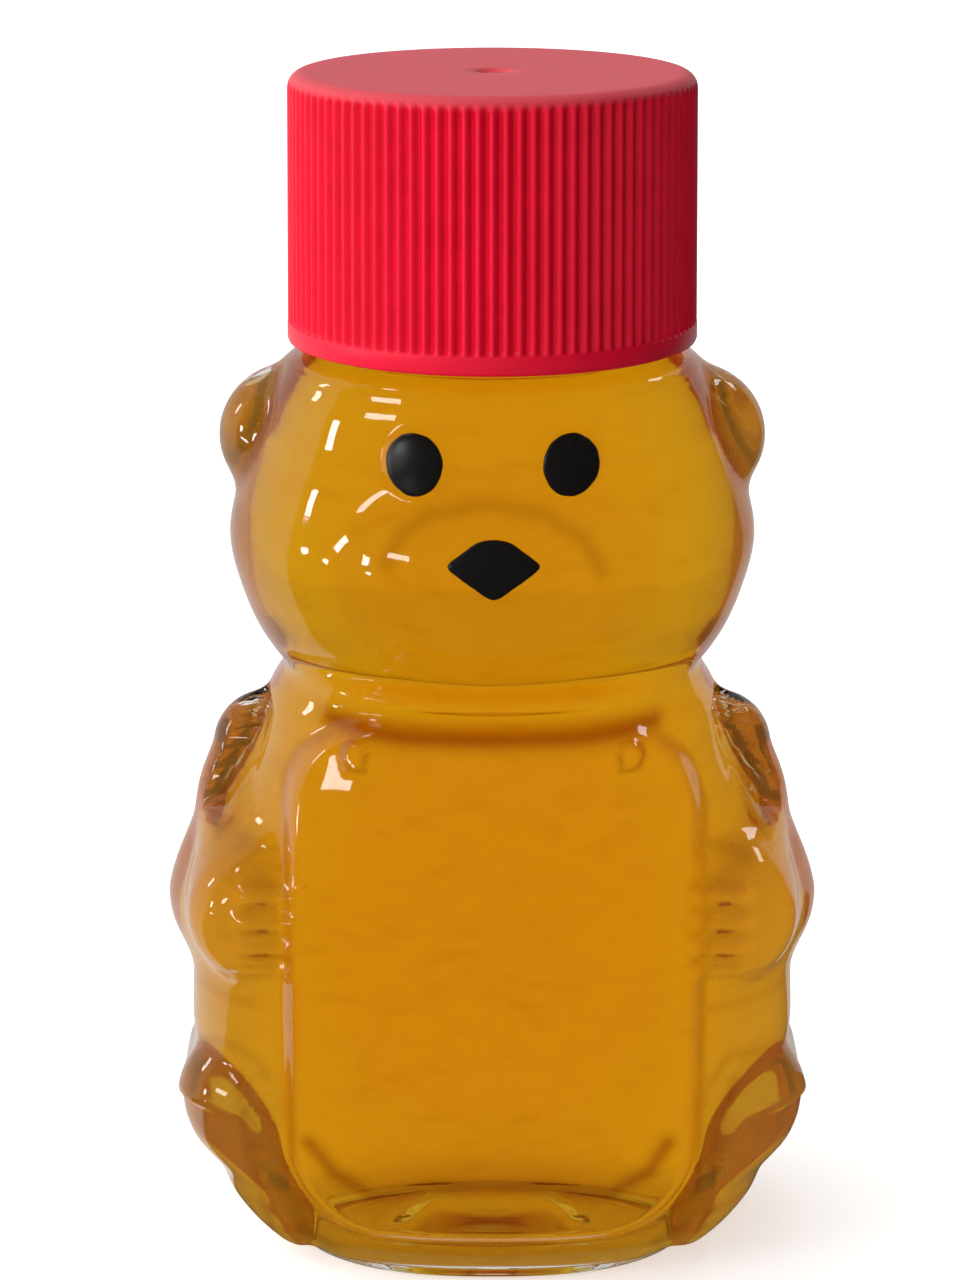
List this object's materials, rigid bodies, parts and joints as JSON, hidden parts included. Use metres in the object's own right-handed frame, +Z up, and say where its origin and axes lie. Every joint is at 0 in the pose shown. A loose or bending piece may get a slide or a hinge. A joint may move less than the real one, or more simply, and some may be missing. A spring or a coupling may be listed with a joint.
{
  "type": "honey bottle",
  "caption": "Clear blow-moulded bottle shaped as a sitting bear, filled with amber honey, with a red ribbed screw cap.",
  "frame": {"origin": "centre of the base on the table, on the axis of the neck", "axes": "+Z up along the neck axis, the bear faces -Y, +X to the right of a viewer who looks at the face"},
  "size_m": [0.0438, 0.033, 0.079],
  "materials": {
    "clear_pet": "clear, glossy",
    "red_cap": "satin, ribbed",
    "foam": "matt",
    "honey": "clear amber liquid",
    "black_ink": "glossy print"
  },
  "bodies": {
    "bottle": {"bottle": "clear_pet", "honey": "honey", "left_eye": "black_ink", "right_eye": "black_ink", "nose": "black_ink"},
    "liner": {"cap_liner": "foam"},
    "cap": {"cap": "red_cap"}
  },
  "joints": [
    {"name": "cap_lift", "type": "slide", "parent": "bottle", "child": "liner", "axis": [0, 0, 1], "range_m": [0, 0.00476]},
    {"name": "cap_turn", "type": "hinge", "parent": "liner", "child": "cap", "pos_m": [0, 0, 0.0615], "axis": [0, 0, 1], "range_deg": [0, 540.1]}
  ],
  "couplings": [
    {"joint": "cap_turn", "follows": "cap_lift", "rad_per_m": 1979}
  ]
}
